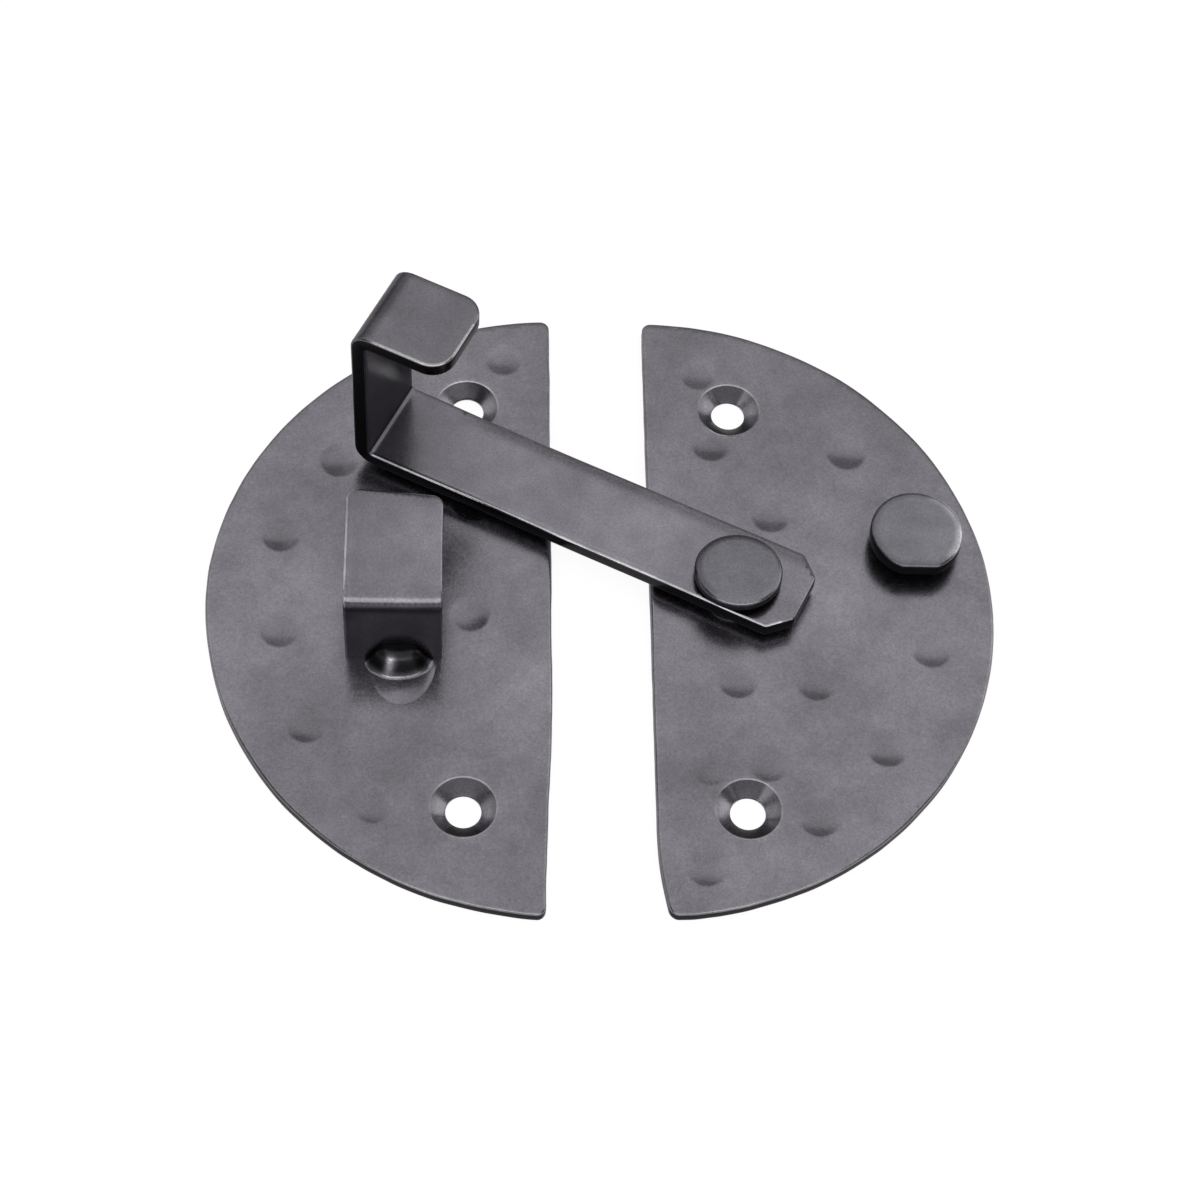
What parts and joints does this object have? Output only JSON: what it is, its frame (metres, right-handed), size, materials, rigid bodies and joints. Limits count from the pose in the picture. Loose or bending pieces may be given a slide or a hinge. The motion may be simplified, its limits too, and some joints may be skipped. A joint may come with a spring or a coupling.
{
  "type": "cabinet latch",
  "caption": "Hand-forged cabinet latch: two half-round backplates, one with a swinging arm with a bent handle and a pull knob, the other with a square catch.",
  "frame": {"origin": "centre of the footprint of the two backplates, on the plane of their backs", "axes": "+X across the two doors from the keeper half to the latch half, +Y up the doors, +Z out of the doors"},
  "size_m": [0.0908, 0.08, 0.0266],
  "materials": {
    "hammered_plate": "satin, dark pewter, hammered",
    "forged_bar": "satin, dark pewter, brushed along the bar",
    "weld_metal": "smooth, slightly glossy dark pewter",
    "rivet_steel": "satin, dark pewter"
  },
  "bodies": {
    "plates": {"keeper_plate": "hammered_plate", "keeper_catch": "forged_bar", "catch_weld": "weld_metal", "latch_plate": "hammered_plate", "pivot_rivet": "rivet_steel", "pivot_spacer": "rivet_steel", "pull_knob": "rivet_steel"},
    "arm": {"latch_arm": "forged_bar"}
  },
  "joints": [
    {"name": "arm_swing", "type": "hinge", "parent": "plates", "child": "arm", "pos_m": [0.0154, 0.0013, 0.0036], "axis": [0, 0, 1], "range_deg": [-102.5, 30]}
  ]
}
